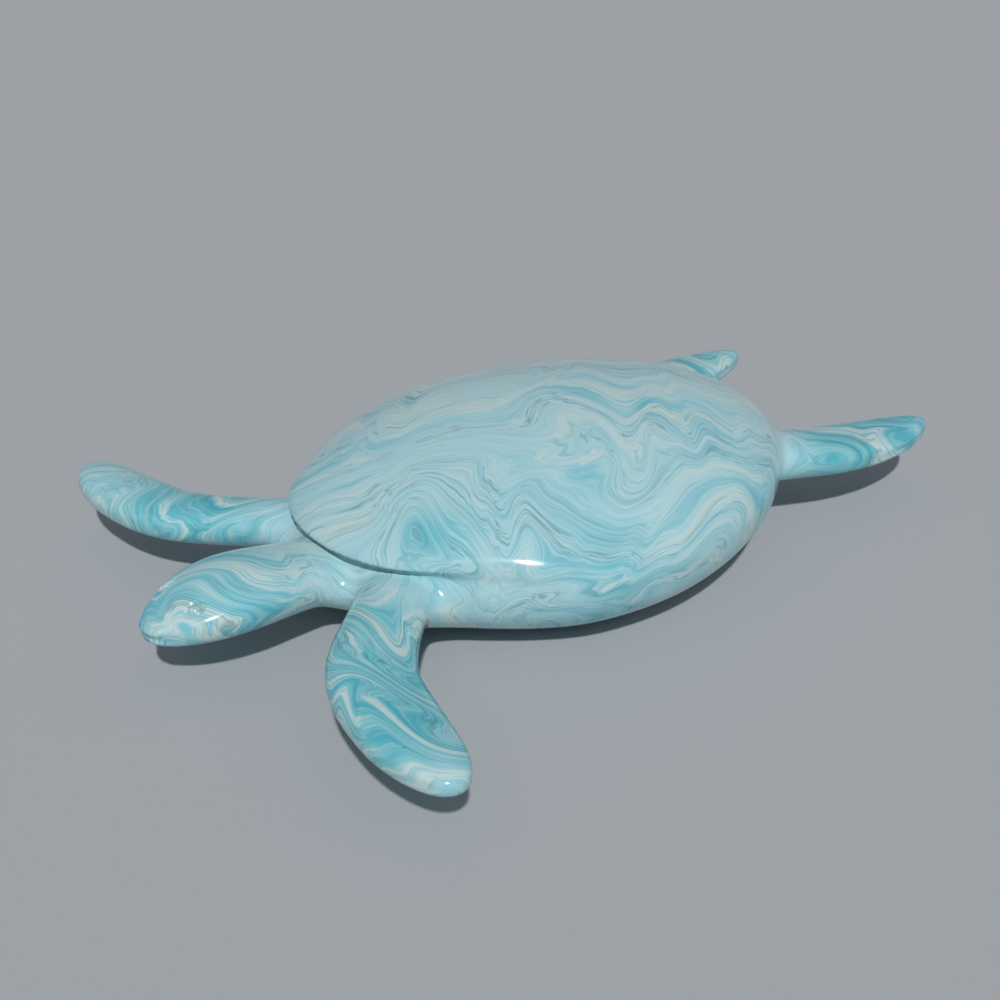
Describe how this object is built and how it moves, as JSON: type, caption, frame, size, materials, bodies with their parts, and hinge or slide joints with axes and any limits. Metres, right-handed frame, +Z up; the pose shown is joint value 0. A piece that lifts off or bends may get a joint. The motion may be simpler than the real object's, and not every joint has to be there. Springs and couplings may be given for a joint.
{
  "type": "sea turtle statue",
  "caption": "Swimming sea turtle carved from one block of polished aqua marble, with a smooth domed shell and spread flippers, resting flat on its belly.",
  "frame": {"origin": "on the surface that the statue rests on, under the middle of its overall length and width", "axes": "+Z up, the head towards -Y and the turtle's left side towards +X"},
  "size_m": [0.341, 0.4486, 0.0834],
  "materials": {
    "aqua_marble": "polished, marbled in aqua, turquoise and white bands"
  },
  "bodies": {
    "root": {"sea_turtle": "aqua_marble"}
  },
  "joints": []
}
